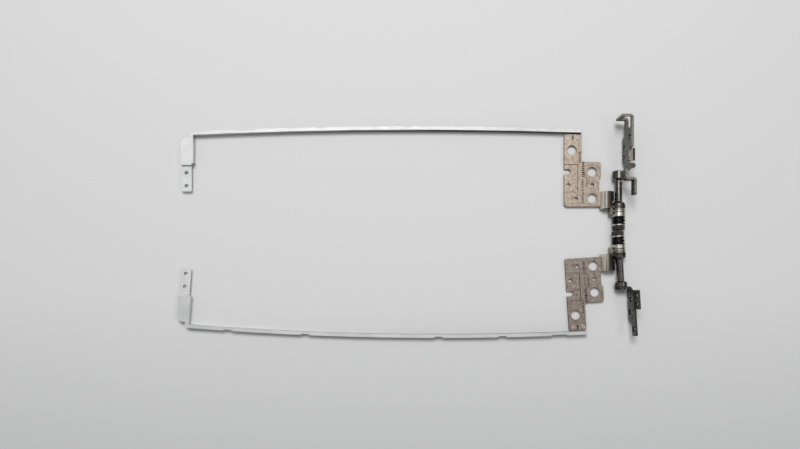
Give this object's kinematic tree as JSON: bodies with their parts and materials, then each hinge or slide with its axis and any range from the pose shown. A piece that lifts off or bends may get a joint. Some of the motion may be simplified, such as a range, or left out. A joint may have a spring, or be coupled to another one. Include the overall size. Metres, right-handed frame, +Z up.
{
  "type": "laptop hinge pair",
  "caption": "Pair of friction hinges for a laptop screen: stamped lid plates with long side rails, washer-loaded steel shafts and folded base brackets, laid flat.",
  "frame": {"origin": "middle of the pair's outline on the table that both hinges lie on", "axes": "+X from the rails' far ends towards the shafts, +Y along the right hinge's shaft towards its base bracket, +Z up off the table"},
  "size_m": [0.2262, 0.1081, 0.013],
  "materials": {
    "right_plate": "plated steel, warm beige, satin",
    "left_plate": "plated steel, taupe, satin",
    "rail_zinc": "bright zinc plated strip",
    "rivet_steel": "bare steel rivets",
    "shaft_steel": "dark polished steel",
    "bracket_dark": "dark grey plated steel",
    "washer_bright": "bright ground steel",
    "washer_grey": "greenish grey passivated steel",
    "spring_black": "black oxide, oiled",
    "nut_black": "black zinc"
  },
  "bodies": {
    "lid_side": {"right_lid_plate": "right_plate", "right_side_rail": "rail_zinc", "right_rail_rivets": "rivet_steel", "right_stop_washer": "washer_grey", "left_lid_plate": "left_plate", "left_side_rail": "rail_zinc", "left_rail_rivets": "rivet_steel", "left_stop_washer": "washer_grey"},
    "right_base_side": {"right_shaft": "shaft_steel", "right_base_bracket": "bracket_dark", "right_friction_washer": "washer_grey", "right_cam_washer": "washer_bright", "right_disc_springs": "spring_black", "right_flat_washer": "washer_bright", "right_lock_nut": "nut_black"},
    "left_base_side": {"left_shaft": "shaft_steel", "left_base_bracket": "bracket_dark", "left_friction_washer": "washer_grey", "left_cam_washer": "washer_bright", "left_disc_springs": "spring_black", "left_flat_washer": "washer_bright", "left_lock_nut": "nut_black"}
  },
  "joints": [
    {"name": "right_pivot", "type": "hinge", "parent": "lid_side", "child": "right_base_side", "pos_m": [0.10549, 0.01116, 0.00315], "axis": [0, 1, 0], "range_deg": [-90, 45]},
    {"name": "left_pivot", "type": "hinge", "parent": "lid_side", "child": "left_base_side", "pos_m": [0.10574, -0.01329, 0.00315], "axis": [-0.061, 0.9981, 0], "range_deg": [-90, 45]}
  ]
}
